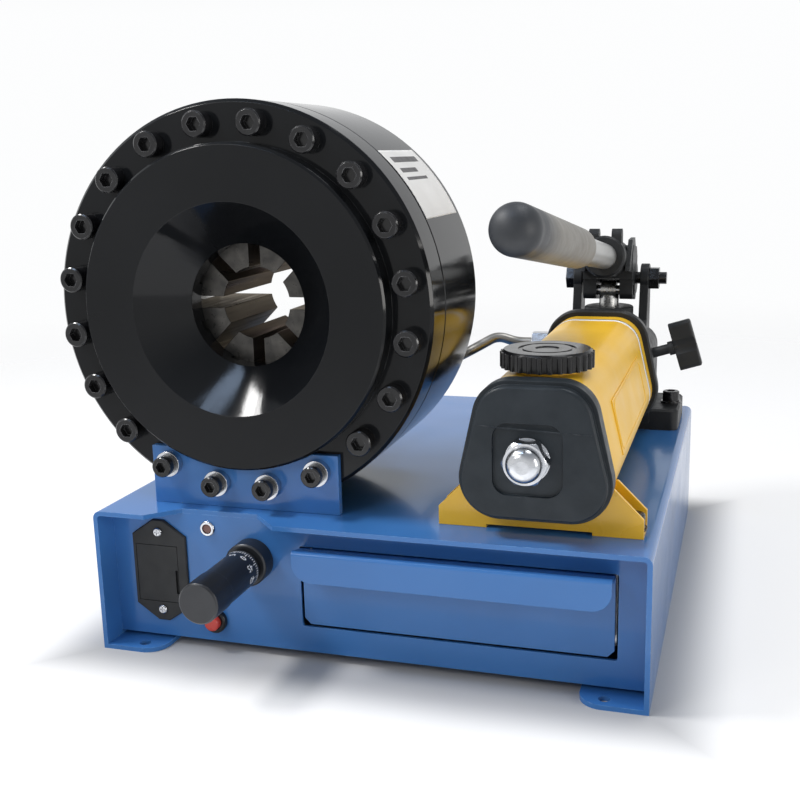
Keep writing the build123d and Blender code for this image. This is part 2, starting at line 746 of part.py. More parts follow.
def make_reservoir():
    tank = prism_y(tank_profile(cap_inset), tank_y0, tank_y1)
    tank += rod_z(filler_neck_r, tank_top - 8, neck_top, *filler_place)
    tank -= rod_y(tie_rod_d / 2 + 0.5, tank_y0 - 1, tank_y1 + 1, nut_x, nut_z)
    tank -= rod_z(filler_neck_r - 4, tank_top - 20, neck_top + 1, *filler_place)
    panel_lift = 0.6
    for side in (-1, 1):
        slope = (tank_foot_half - tank_top_half) / tank_height
        mid_z = tank_bottom + tank_height * 0.52
        mid_x = pump_x + side * (tank_foot_half - cap_inset - slope * (mid_z - tank_bottom))
        tilt = side * 12.7
        plate = Pos(mid_x, from_front(148), mid_z) * Rot(0, -tilt, 0) * Box(2 * panel_lift, 150, 34)
        tank += plate
    return tank


def make_end_cap():
    y0, y1 = from_front(cap_front), tank_y0
    band = prism_y(tank_profile(0), y0 + 6, y1)
    nose = prism_y(tank_profile(2.5), y0, y0 + 6)
    nose = fillet(nose.faces().sort_by(Axis.Y)[0].edges(), 2.0)
    cap = band + nose
    pocket = box(nut_x - 20, nut_x + 20, y0 - 1, y0 + 2.5, nut_z - 21, nut_z + 21)
    cap -= fillet(pocket.edges().filter_by(Axis.Y), 9.0)
    cap -= rod_y(tie_rod_d / 2 + 0.25, y0 - 1, y1 + 1, nut_x, nut_z)
    return cap


def make_acorn_nut():
    seat = from_front(cap_front) + 2.5
    washer = ring_y(nut_flats / 2 + 1, tie_rod_d / 2, seat - 1.5, seat, nut_x, nut_z)
    body = hex_y(nut_flats, seat - 11, seat - 1.5, nut_x, nut_z)
    round_blank = rod_y(nut_flats / sqrt(3) - 0.4, seat - 11, seat - 1.5, nut_x, nut_z)
    body &= chamfer(round_blank.edges().sort_by(Axis.Y)[0], 1.5)
    dome = rod_y(nut_flats / 2 - 1.5, seat - 18, seat - 10, nut_x, nut_z)
    dome = fillet(dome.edges().sort_by(Axis.Y)[0], 7.0)
    nut = washer + body + dome
    return nut - rod_y(tie_rod_d / 2, seat - 9, seat + 1, nut_x, nut_z)


def make_filler_cap():
    z0, z1 = neck_top + 0.8, neck_top + 0.8 + filler_cap_h
    x, y = filler_place
    cap = rod_z(filler_cap_r - 1.4, z0, z1, x, y)
    cap = chamfer(cap.edges().sort_by(Axis.Z)[-1], 1.0)
    rib = rod_z(1.7, z0, z1 - 1.5, filler_cap_r - 1.7, 0)
    ribs = [Pos(x, y, 0) * Rot(0, 0, 360 * k / filler_ribs) * rib for k in range(filler_ribs)]
    cap = cap + ribs
    cap -= Pos(x, y, z1) * (Cylinder(17, 1.2) - Cylinder(14.5, 3))
    cap -= Pos(x, y, z1) * Cylinder(7, 1.2)
    cap += rod_z(filler_neck_r - 4 - slide_gap, z0 - 14, z0 + 1, x, y)
    return cap


parts["reservoir"] = make_reservoir()
parts["reservoir_end_cap"] = make_end_cap()
parts["tie_rod"] = rod_y(tie_rod_d / 2, from_front(cap_front) - 6.4, from_front(tank_rear) + 20, nut_x, nut_z)
parts["acorn_nut"] = make_acorn_nut()
parts["filler_cap"] = make_filler_cap()
parts["filler_gasket"] = (rod_z(filler_neck_r, neck_top, neck_top + 0.7, *filler_place)
                          - rod_z(filler_neck_r - 3, neck_top - 1, neck_top + 2, *filler_place))

# ---------------------------------------------------------------- pump feet


def make_foot_bracket():
    y0 = from_front(bracket_front)
    y1 = y0 + bracket_depth
    low = base_height
    half = bracket_half
    shoulder = half - (bracket_shoulder - bracket_knee)
    outline = polygon([(pump_x - half, low), (pump_x + half, low), (pump_x + half, low + bracket_knee),
                       (pump_x + shoulder, low + bracket_shoulder), (pump_x - shoulder, low + bracket_shoulder),
                       (pump_x - half, low + bracket_knee)])
    bracket = prism_y(outline, y0, y0 + bracket_sheet) + prism_y(outline, y1 - bracket_sheet, y1)
    bracket += box(pump_x - half, pump_x + half, y0, y1, low, low + bracket_sheet)
    bracket -= prism_y(tank_profile(cap_inset), y0 - 1, y1 + 1)
    bracket -= box(pump_x - half / 2 - 1, pump_x + half / 2 + 1, y0 - 1, y1 + 1, low - 1, low + 2)
    for offset in (-bracket_bolt_offset, bracket_bolt_offset):
        bracket -= rod_z(pump_bolt_d / 2, low - 1, low + bracket_sheet + 1, pump_x + offset, (y0 + y1) / 2)
    return bracket


def make_pump_head():
    y0 = tank_y1
    flange = prism_y(tank_profile(-3.0), y0, y0 + 9)
    flange = chamfer(flange.faces().sort_by(Axis.Y)[0].edges(), 1.2)
    shoulder_x = head_half
    body = box(pump_x - shoulder_x, pump_x + shoulder_x, y0 + 8, from_front(foot_rear), base_height + 6, head_top)
    body = fillet(body.edges().filter_by(Axis.Y).group_by(Axis.Z)[-1], 16.0)
    tower = box(pump_x - tower_half, pump_x + tower_half, from_front(tower_front), from_front(tower_rear),
                base_height + 6, tower_top)
    foot = box(pump_x - foot_half, pump_x + foot_half, from_front(foot_front), from_front(foot_rear),
               base_height, base_height + foot_height)
    foot = fillet(foot.edges().filter_by(Axis.Z), 6.0)
    foot = chamfer(foot.faces().sort_by(Axis.Z)[-1].edges(), 1.5)
    head = flange + body + tower + foot
    gy = from_front(gland_y)
    for side in (-1, 1):
        x0, x1 = sorted((pump_x + side * (tower_half + link_sheet + slide_gap), pump_x + side * 70))
        head -= box(x0 if side > 0 else x0, x1, from_front(foot_rear), from_front(tower_rear), 0, 300)
        inner, outer = sorted((pump_x + side * tower_half, pump_x + side * (tower_half + link_sheet + 1)))
        head -= box(inner, outer, from_front(tower_front) - 2, from_front(tower_rear) + 1,
                    base_height + foot_height + 14, 300)
    head += turned_z([(0, tower_top - 6), (tower_half - 0.2, tower_top - 6), (tower_half - 0.2, tower_top),
                      (gland_r, tower_top + 4), (0, tower_top + 4)], pump_x, gy)
    head -= rod_z(piston_r + fit_gap, piston_bottom - 6, tower_top + 5, pump_x, gy)
    head -= rod_y(tie_rod_d / 2, y0 - 1, y0 + 20, nut_x, nut_z)
    for offset in (-foot_bolt_offset, foot_bolt_offset):
        head -= rod_z(pump_bolt_d / 2 + 0.25, base_height - 1, base_height + foot_height + 1,
                      pump_x + offset, from_front(foot_bolt_y))
    head -= rod_x(tube_d / 2 + 2.5, pump_x - shoulder_x - 1, pump_x - shoulder_x + 12,
                  from_front(pump_port_y), pump_port_z)
    stem_hole = Pos(pump_x + shoulder_x, from_front(release_y), release_z) * Rot(0, -release_tilt, 0) \
        * Pos(-6, 0, 0) * Rot(0, 90, 0) * Cylinder(4 + fit_gap, 26)
    return head - stem_hole


bolt_washer = 1.5


def make_foot_bolts(offset, y, seat, length):
    bolts = []
    for side in (-1, 1):
        x = pump_x + side * offset
        bolt = socket_screw_z(pump_bolt_d, pump_bolt_head_d, pump_bolt_head_h, seat + bolt_washer,
                              length + bolt_washer, x, y)
        bolt += rod_z(pump_bolt_head_d / 2 + 1.5, seat, seat + bolt_washer, x, y)
        bolts.append(bolt)
    return Compound(children=bolts)


parts["pump_foot_bracket"] = make_foot_bracket()
parts["pump_head"] = make_pump_head()
parts["front_foot_bolts"] = make_foot_bolts(bracket_bolt_offset, from_front(bracket_front + bracket_depth / 2),
                                            base_height + bracket_sheet, bracket_sheet + base_sheet + 6)
parts["rear_foot_bolts"] = make_foot_bolts(foot_bolt_offset, from_front(foot_bolt_y),
                                           base_height + foot_height, foot_height + base_sheet + 6)

# ---------------------------------------------------------------- pump piston, links and lever
gy = from_front(gland_y)
py = from_front(pivot_y)
gland_low = tower_top + 4
parts["gland_nut"] = turned_z([(piston_r + fit_gap, gland_low), (gland_r, gland_low), (gland_r, gland_top - 1),
                               (gland_r - 1, gland_top), (piston_r + fit_gap, gland_top)], pump_x, gy)


def make_pump_piston():
    piston = rod_z(piston_r, piston_bottom, pin_z - 4, pump_x, gy)
    piston = chamfer(piston.edges().sort_by(Axis.Z)[0], 1.0)
    eye = rod_x(piston_r, pump_x - piston_r + 2, pump_x + piston_r - 2, gy, pin_z)
    eye += box(pump_x - piston_r + 2, pump_x + piston_r - 2, gy - piston_r + 2, gy + piston_r - 2,
               pin_z - 6, pin_z)
    return piston + eye - rod_x(pin_d / 2, pump_x - 20, pump_x + 20, gy, pin_z)


parts["pump_piston"] = make_pump_piston()
parts["piston_pin"] = rod_x(pin_d / 2, pump_x - block_half + 1, pump_x + block_half - 1, gy, pin_z)


def make_links():
    links = []
    low = base_height + foot_height + 14.5
    outline = polygon([(py - 42, low), (py + 8, low), (py + 8, tower_top - 6), (py + 10, pivot_z),
                       (py - 10, pivot_z), (py - 18, tower_top + 6), (py - 42, tower_top - 14)])
    for side in (-1, 1):
        x0, x1 = sorted((pump_x + side * tower_half, pump_x + side * (tower_half + link_sheet)))
        link = prism_x(outline, x0, x1) + rod_x(12, x0, x1, py, pivot_z)
        link -= rod_x(pivot_bolt_d / 2 + fit_gap, x0 - 1, x1 + 1, py, pivot_z)
        links.append(link)
    return Compound(children=links)


def make_pivot_bolt():
    reach = tower_half + link_sheet
    shank = rod_x(pivot_bolt_d / 2, pump_x - reach, pump_x + reach + 14, py, pivot_z)
    head = Plane((pump_x - reach - 7, py, pivot_z), x_dir=(0, 1, 0), z_dir=(1, 0, 0))
    return shank + extrude(head * RegularPolygon(8.5, 6, major_radius=False), amount=7)


def make_pivot_nut():
    reach = tower_half + link_sheet
    seat = Plane((pump_x + reach, py, pivot_z), x_dir=(0, 1, 0), z_dir=(1, 0, 0))
    nut = extrude(seat * RegularPolygon(8.5, 6, major_radius=False), amount=8)
    return nut - rod_x(pivot_bolt_d / 2, pump_x + reach - 1, pump_x + reach + 12, py, pivot_z)


def at_lever(shape):
    """Place a shape drawn about the pivot, with the lever along -Y, at the lever's rest tilt."""
    return Pos(pump_x, py, pivot_z) * Rot(-handle_tilt, 0, 0) * shape


def make_handle_block():
    hub = rod_x(13, -block_half, block_half, 0, 0)
    core = box(-block_half, block_half, -34, 4, -2, 26)
    core = chamfer(core.edges().filter_by(Axis.X).group_by(Axis.Z)[-1], 8.0)
    boss = rod_y(16.5, -62, -8, 0, handle_offset)
    boss = chamfer(boss.edges().sort_by(Axis.Y)[0], 1.5)
    legs = box(-block_half, block_half, -30, 0, -18, 4)
    legs = fillet(legs.edges().filter_by(Axis.X).group_by(Axis.Z)[0], 5.0)
    block = hub + core + boss + legs
    for x in (-9.0, 9.0):
        lug = rod_x(5.5, x - 4, x + 4, -52, handle_offset + 17)
        lug += box(x - 4, x + 4, -57.5, -46.5, handle_offset + 8, handle_offset + 17)
        block += lug
    for x in (-block_half + ear_inset, block_half - ear_inset - ear_sheet):
        ear = polygon([(-52, 4), (-10, 4), (-2, 22), (-14, 33), (-34, 30)])
        block += prism_x(ear, x, x + ear_sheet)
    block -= box(-fork_half, fork_half, -40, 14.5, -20, -1.5)
    block -= rod_y(handle_tube_d / 2, -64, -handle_tube_start, 0, handle_offset)
    block = at_lever(block)
    block -= rod_x(pivot_bolt_d / 2 + fit_gap, pump_x - 30, pump_x + 30, py, pivot_z)
    slot_z0, slot_z1 = pin_z - pin_d / 2 - 0.35, pin_z + pin_d / 2 + 0.6
    slot = box(pump_x - 30, pump_x + 30, py - 26.0, py - 13.8, slot_z0, slot_z1)
    return block - fillet(slot.edges().filter_by(Axis.X), 3.0)


def make_grip():
    r = grip_d / 2
    body = rod_y(r, -grip_end, -grip_start, 0, handle_offset)
    body = fillet(body.edges().sort_by(Axis.Y)[0], r - 0.3)
    body = chamfer(body.edges().sort_by(Axis.Y)[-1], 3.0)
    return at_lever(body - rod_y(handle_tube_d / 2, -handle_tube_end, 0, 0, handle_offset))


parts["side_links"] = make_links()
parts["pivot_bolt"] = make_pivot_bolt()
parts["pivot_nut"] = make_pivot_nut()
parts["handle_block"] = make_handle_block()
parts["handle_tube"] = at_lever(ring_y(handle_tube_d / 2, handle_tube_d / 2 - handle_tube_wall,
                                      -handle_tube_end, -handle_tube_start, 0, handle_offset))
parts["handle_grip"] = make_grip()


def make_release_knob():
    stem = Rot(0, 90, 0) * Pos(0, 0, 6) * Cylinder(4, 28)
    stem += Rot(0, 90, 0) * Pos(0, 0, 15) * Cylinder(5.5, 4)
    bar = Box(17, 11, 38)
    bar = fillet(bar.edges().filter_by(Axis.X), 3.5)
    bar = fillet(bar.faces().sort_by(Axis.X)[-1].edges(), 1.5)
    scallop = [Pos(0, side * 12.5, 0) * Rot(0, 90, 0) * Cylinder(9, 20) for side in (-1, 1)]
    bar = bar - scallop
    knob = stem + Pos(26, 0, 0) * bar
    return Pos(pump_x + head_half, from_front(release_y), release_z) * Rot(0, -release_tilt, 0) * knob


parts["release_knob"] = make_release_knob()

# ---------------------------------------------------------------- pressure line
pump_port_x = pump_x - head_half
head_fit_rear = body_rear + 14
pump_fit_left = pump_port_x - 14
route = [(port_x, head_fit_rear, port_z), (port_x, head_fit_rear + 42, port_z),
         (port_x + 4, head_fit_rear + 84, port_z - 8), (port_x + 20, from_front(pump_port_y) - 12, port_z - 2),
         (port_x + 40, from_front(pump_port_y) - 1, port_z + 9),
         (pump_fit_left - 14, from_front(pump_port_y), pump_port_z),
         (pump_fit_left, from_front(pump_port_y), pump_port_z)]


def make_tube():
    runs = [Vector(*b) - Vector(*a) for a, b in zip(route, route[1:])]
    radii = []
    for first, second in zip(runs, runs[1:]):
        turn = radians(first.get_angle(second))
        radii.append(min(first.length, second.length) * 0.45 / tan(turn / 2))
    print("pressure line radii", [round(r, 1) for r in radii])
    path = FilletPolyline(*route, radius=radii)
    section = Plane(path @ 0, z_dir=path % 0) * Circle(tube_d / 2)
    return sweep(section, path=path)


def make_head_fitting():
    shank = rod_y(tube_d / 2 + 2.5, body_rear - 11.5, body_rear, port_x, port_z)
    nut = hex_y(port_hex, body_rear, body_rear + 14, port_x, port_z)
    return shank + nut - rod_y(tube_d / 2 - 2, body_rear - 12, body_rear + 15, port_x, port_z)


def make_pump_fitting():
    y = from_front(pump_port_y)
    face = Plane((pump_fit_left, y, pump_port_z), x_dir=(0, 1, 0), z_dir=(1, 0, 0))
    nut = extrude(face * RegularPolygon(port_hex / 2, 6, major_radius=False), amount=14)
    shank = rod_x(tube_d / 2 + 2.5, pump_port_x, pump_port_x + 11.5, y, pump_port_z)
    return nut + shank - rod_x(tube_d / 2 - 2, pump_fit_left - 1, pump_port_x + 13, y, pump_port_z)


parts["head_port_fitting"] = make_head_fitting()
parts["pump_port_fitting"] = make_pump_fitting()
parts["hydraulic_tube"] = make_tube()

# ---------------------------------------------------------------- write the sub-parts
os.makedirs("parts", exist_ok=True)
for name, shape in parts.items():
    export_step(shape, f"parts/{name}.step")
print(len(parts), "sub-parts written")
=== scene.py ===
import json
from math import acos, atan2, cos, pi, radians, sin, tan

import bmesh
import bpy
from mathutils import Matrix, Vector


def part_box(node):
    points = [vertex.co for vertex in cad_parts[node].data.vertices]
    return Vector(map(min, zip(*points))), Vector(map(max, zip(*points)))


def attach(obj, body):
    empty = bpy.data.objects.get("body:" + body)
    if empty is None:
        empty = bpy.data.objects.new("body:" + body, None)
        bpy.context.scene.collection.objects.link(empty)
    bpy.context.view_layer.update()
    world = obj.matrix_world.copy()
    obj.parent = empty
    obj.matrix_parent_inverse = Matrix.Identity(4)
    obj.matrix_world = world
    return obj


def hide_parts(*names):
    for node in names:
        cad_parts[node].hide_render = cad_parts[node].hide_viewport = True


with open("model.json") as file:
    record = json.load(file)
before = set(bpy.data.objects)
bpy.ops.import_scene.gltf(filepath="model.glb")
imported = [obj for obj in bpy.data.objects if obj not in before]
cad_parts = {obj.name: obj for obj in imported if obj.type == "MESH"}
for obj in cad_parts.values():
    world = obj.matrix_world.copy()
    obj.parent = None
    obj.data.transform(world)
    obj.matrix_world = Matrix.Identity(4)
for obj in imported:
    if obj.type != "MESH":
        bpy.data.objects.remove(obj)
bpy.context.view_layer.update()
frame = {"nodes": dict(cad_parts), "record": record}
record = frame["record"]
bodyOf = {node: body for body, group in record["behaviour"]["bodies"].items() for node in group}
mm = 0.001
print("frame loaded,", len(frame["nodes"]), "nodes")

# shader nodes shared by the room, the floor and the finishes


def link(tree, start, end):
    tree.links.new(start, end)


def combine(tree, operation, *values):
    # one math node, each value a number or another node's output
    node = tree.nodes.new("ShaderNodeMath")
    node.operation = operation
    for socket, value in zip(node.inputs, values):
        if isinstance(value, (int, float)):
            socket.default_value = value
        else:
            link(tree, value, socket)
    return node.outputs[0]


def remap(tree, value, low, high, start, end, smooth=False):
    spread = tree.nodes.new("ShaderNodeMapRange")
    spread.interpolation_type = "SMOOTHSTEP" if smooth else "LINEAR"
    spread.inputs["From Min"].default_value = low
    spread.inputs["From Max"].default_value = high
    spread.inputs["To Min"].default_value = start
    spread.inputs["To Max"].default_value = end
    link(tree, value, spread.inputs["Value"])
    return spread.outputs["Result"]


def noise(tree, coords, scale, detail, along=(1, 1, 1)):
    spread = tree.nodes.new("ShaderNodeMapping")
    spread.inputs["Scale"].default_value = along
    field = tree.nodes.new("ShaderNodeTexNoise")
    field.inputs["Scale"].default_value = scale
    field.inputs["Detail"].default_value = detail
    link(tree, coords, spread.inputs["Vector"])
    link(tree, spread.outputs["Vector"], field.inputs["Vector"])
    return field.outputs["Fac"]


def blendTones(tree, share, first, second):
    mix = tree.nodes.new("ShaderNodeMix")
    mix.data_type = "RGBA"
    link(tree, share, mix.inputs[0])
    for socket, tone in ((mix.inputs[6], first), (mix.inputs[7], second)):
        if isinstance(tone, tuple):
            socket.default_value = (*tone, 1)
        else:
            link(tree, tone, socket)
    return mix.outputs[2]


def startFinish(name):
    material = bpy.data.materials.new(name)
    material.use_nodes = True
    tree = material.node_tree
    return material, tree, tree.nodes["Principled BSDF"], tree.nodes.new("ShaderNodeTexCoord").outputs["Object"]


def raySeen(tree):
    # 1 for the rays that show the pale backdrop: to the eye, in gloss and through glass
    ray = tree.nodes.new("ShaderNodeLightPath")
    share = ray.outputs["Is Camera Ray"]
    for kind in ("Is Glossy Ray", "Is Transmission Ray"):
        share = combine(tree, "MAXIMUM", share, ray.outputs[kind])
    return share


# view and light

cameraPlace = {"place": (0.21916, -0.76450, 0.31054), "turn": 17.883, "dip": 12.546, "roll": -1.453,
               "lens": 49.47, "sensor": 36, "nearest": 0.01}
room = {"level": (0.98, 0.985, 0.99), "high": (0.40, 0.42, 0.45), "levelEnd": 0.12, "highStart": 0.75,
        "strength": 0.62}
lamps = {  # windowLight and skyLight gleam low in the cone, benchCard lifts the front panel
    "windowLight": {"place": (-0.83, -0.34, 1.20), "aim": (-0.07, -0.16, 0.17), "size": (0.36, 0.22),
                    "watts": 14.0, "tint": (1.0, 0.99, 0.98)},
    "skyLight": {"place": (-0.334, -0.544, 1.388), "aim": (-0.09, -0.16, 0.17), "size": (0.5, 0.11),
                 "watts": 2.1, "tint": (0.55, 0.72, 1.0)},
    "frontLight": {"place": (-0.95, -1.55, 1.25), "aim": (-0.05, 0, 0.18), "size": (0.6, 0.6),
                   "watts": 6.5, "tint": (1.0, 0.99, 0.97)},
    "ceilingLight": {"place": (0.45, 0.15, 1.7), "aim": (0, 0, 0.1), "size": (0.9, 0.6),
                     "watts": 8.0, "tint": (0.96, 0.98, 1.0)},
    "sideLight": {"place": (1.45, -0.62, 0.42), "aim": (0.05, 0, 0.15), "size": (0.3, 0.7),
                  "watts": 6.0, "tint": (1.0, 0.98, 0.95)},
    "benchCard": {"place": (0.12, -0.39, 0.012), "aim": (0.12, -0.39, 1.0), "size": (0.66, 0.31),
                  "watts": 0.45, "tint": (0.97, 0.98, 1.0)},
}
# paintedShadowReach sets how far the painted shadow round the base reaches
floorLook = {"tone": (0.42, 0.42, 0.425), "rough": 0.7, "gloss": 0.2, "glow": 0.60, "paintedShadowReach": 0.05,
             "size": 12.0, "fadeFrom": 0.45, "fadeTo": 1.7}


def setCamera():
    data = bpy.data.cameras.new("camera")
    data.lens = cameraPlace["lens"]
    data.sensor_width = cameraPlace["sensor"]
    data.clip_start = cameraPlace["nearest"]
    turn, dip, roll = (radians(cameraPlace[key]) for key in ("turn", "dip", "roll"))
    forward = Vector((-sin(turn) * cos(dip), cos(turn) * cos(dip), -sin(dip)))
    right = Vector((cos(turn), sin(turn), 0))
    up = right.cross(forward)
    across = right * cos(roll) + up * sin(roll)
    upright = up * cos(roll) - right * sin(roll)
    pose = Matrix((across, upright, -forward)).transposed().to_4x4()
    pose.translation = Vector(cameraPlace["place"])
    camera = bpy.data.objects.new("camera", data)
    camera.matrix_world = pose
    bpy.context.scene.collection.objects.link(camera)
    bpy.context.scene.camera = camera


def setRoom():
    world = bpy.data.worlds.new("studioAir")
    bpy.context.scene.world = world
    world.use_nodes = True
    tree = world.node_tree
    background = tree.nodes["Background"]
    coords = tree.nodes.new("ShaderNodeTexCoord")
    split = tree.nodes.new("ShaderNodeSeparateXYZ")
    ramp = tree.nodes.new("ShaderNodeValToRGB")
    link(tree, coords.outputs["Generated"], split.inputs[0])
    link(tree, split.outputs["Z"], ramp.inputs["Fac"])
    ramp.color_ramp.elements[0].color = (*room["level"], 1)  # everything at or below the horizon
    ramp.color_ramp.elements[0].position = room["levelEnd"]
    ramp.color_ramp.elements[1].color = (*room["high"], 1)
    ramp.color_ramp.elements[1].position = room["highStart"]
    link(tree, remap(tree, raySeen(tree), 0, 1, room["strength"], 1), background.inputs["Strength"])
    link(tree, ramp.outputs["Color"], background.inputs["Color"])


def setLamps():
    for name, lamp in lamps.items():
        data = bpy.data.lights.new(name, "AREA")
        data.shape = "RECTANGLE"
        data.size, data.size_y = lamp["size"]
        data.energy = lamp["watts"]
        data.color = lamp["tint"]
        thing = bpy.data.objects.new(name, data)
        thing.location = lamp["place"]
        thing.visible_camera = False
        thing.rotation_euler = (Vector(lamp["aim"]) - Vector(lamp["place"])).to_track_quat("-Z", "Y").to_euler()
        bpy.context.scene.collection.objects.link(thing)


def besideBase(tree, coords):
    # the floor's glow: none under the machine, rising to all of it over paintedShadowReach outside the base, so the
    # dimmer floor close round the base is a painted shadow
    low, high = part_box("base_wrap")
    split = tree.nodes.new("ShaderNodeSeparateXYZ")
    link(tree, coords, split.inputs[0])
    past = [combine(tree, "SUBTRACT", combine(tree, "ABSOLUTE", split.outputs[axis]), reach)
            for axis, reach in (("X", high.x), ("Y", high.y))]
    farther = combine(tree, "MAXIMUM", *past)
    return remap(tree, farther, 0, floorLook["paintedShadowReach"], 0, floorLook["glow"], smooth=True)


def setFloor():
    material, tree, shader, coords = startFinish("paleFloor")
    shader.inputs["Base Color"].default_value = (*floorLook["tone"], 1)
    shader.inputs["Roughness"].default_value = floorLook["rough"]
    shader.inputs["Specular IOR Level"].default_value = floorLook["gloss"]
    shader.inputs["Emission Color"].default_value = (1, 1, 1, 1)
    # the glow shows to seen rays only and leaves a painted shadow round the base
    glow = combine(tree, "MULTIPLY", raySeen(tree), besideBase(tree, coords))
    link(tree, glow, shader.inputs["Emission Strength"])
    length = tree.nodes.new("ShaderNodeVectorMath")
    length.operation = "LENGTH"
    link(tree, coords, length.inputs[0])
    fade = remap(tree, length.outputs["Value"], floorLook["fadeFrom"], floorLook["fadeTo"], 0, 1, smooth=True)
    clear = tree.nodes.new("ShaderNodeBsdfTransparent")
    mix = tree.nodes.new("ShaderNodeMixShader")
    link(tree, fade, mix.inputs["Fac"])
    link(tree, shader.outputs[0], mix.inputs[1])
    link(tree, clear.outputs[0], mix.inputs[2])
    link(tree, mix.outputs[0], tree.nodes["Material Output"].inputs["Surface"])
    half = floorLook["size"] / 2
    mesh = bpy.data.meshes.new("floor")
    mesh.from_pydata([(-half, -half, 0), (half, -half, 0), (half, half, 0), (-half, half, 0)], [], [(0, 1, 2, 3)])
    mesh.materials.append(material)
    floor = bpy.data.objects.new("floor", mesh)
    bpy.context.scene.collection.objects.link(floor)


setCamera()
setRoom()
setLamps()
setFloor()
bpy.context.scene.view_settings.view_transform = "Standard"
print("camera, lamps and floor set")
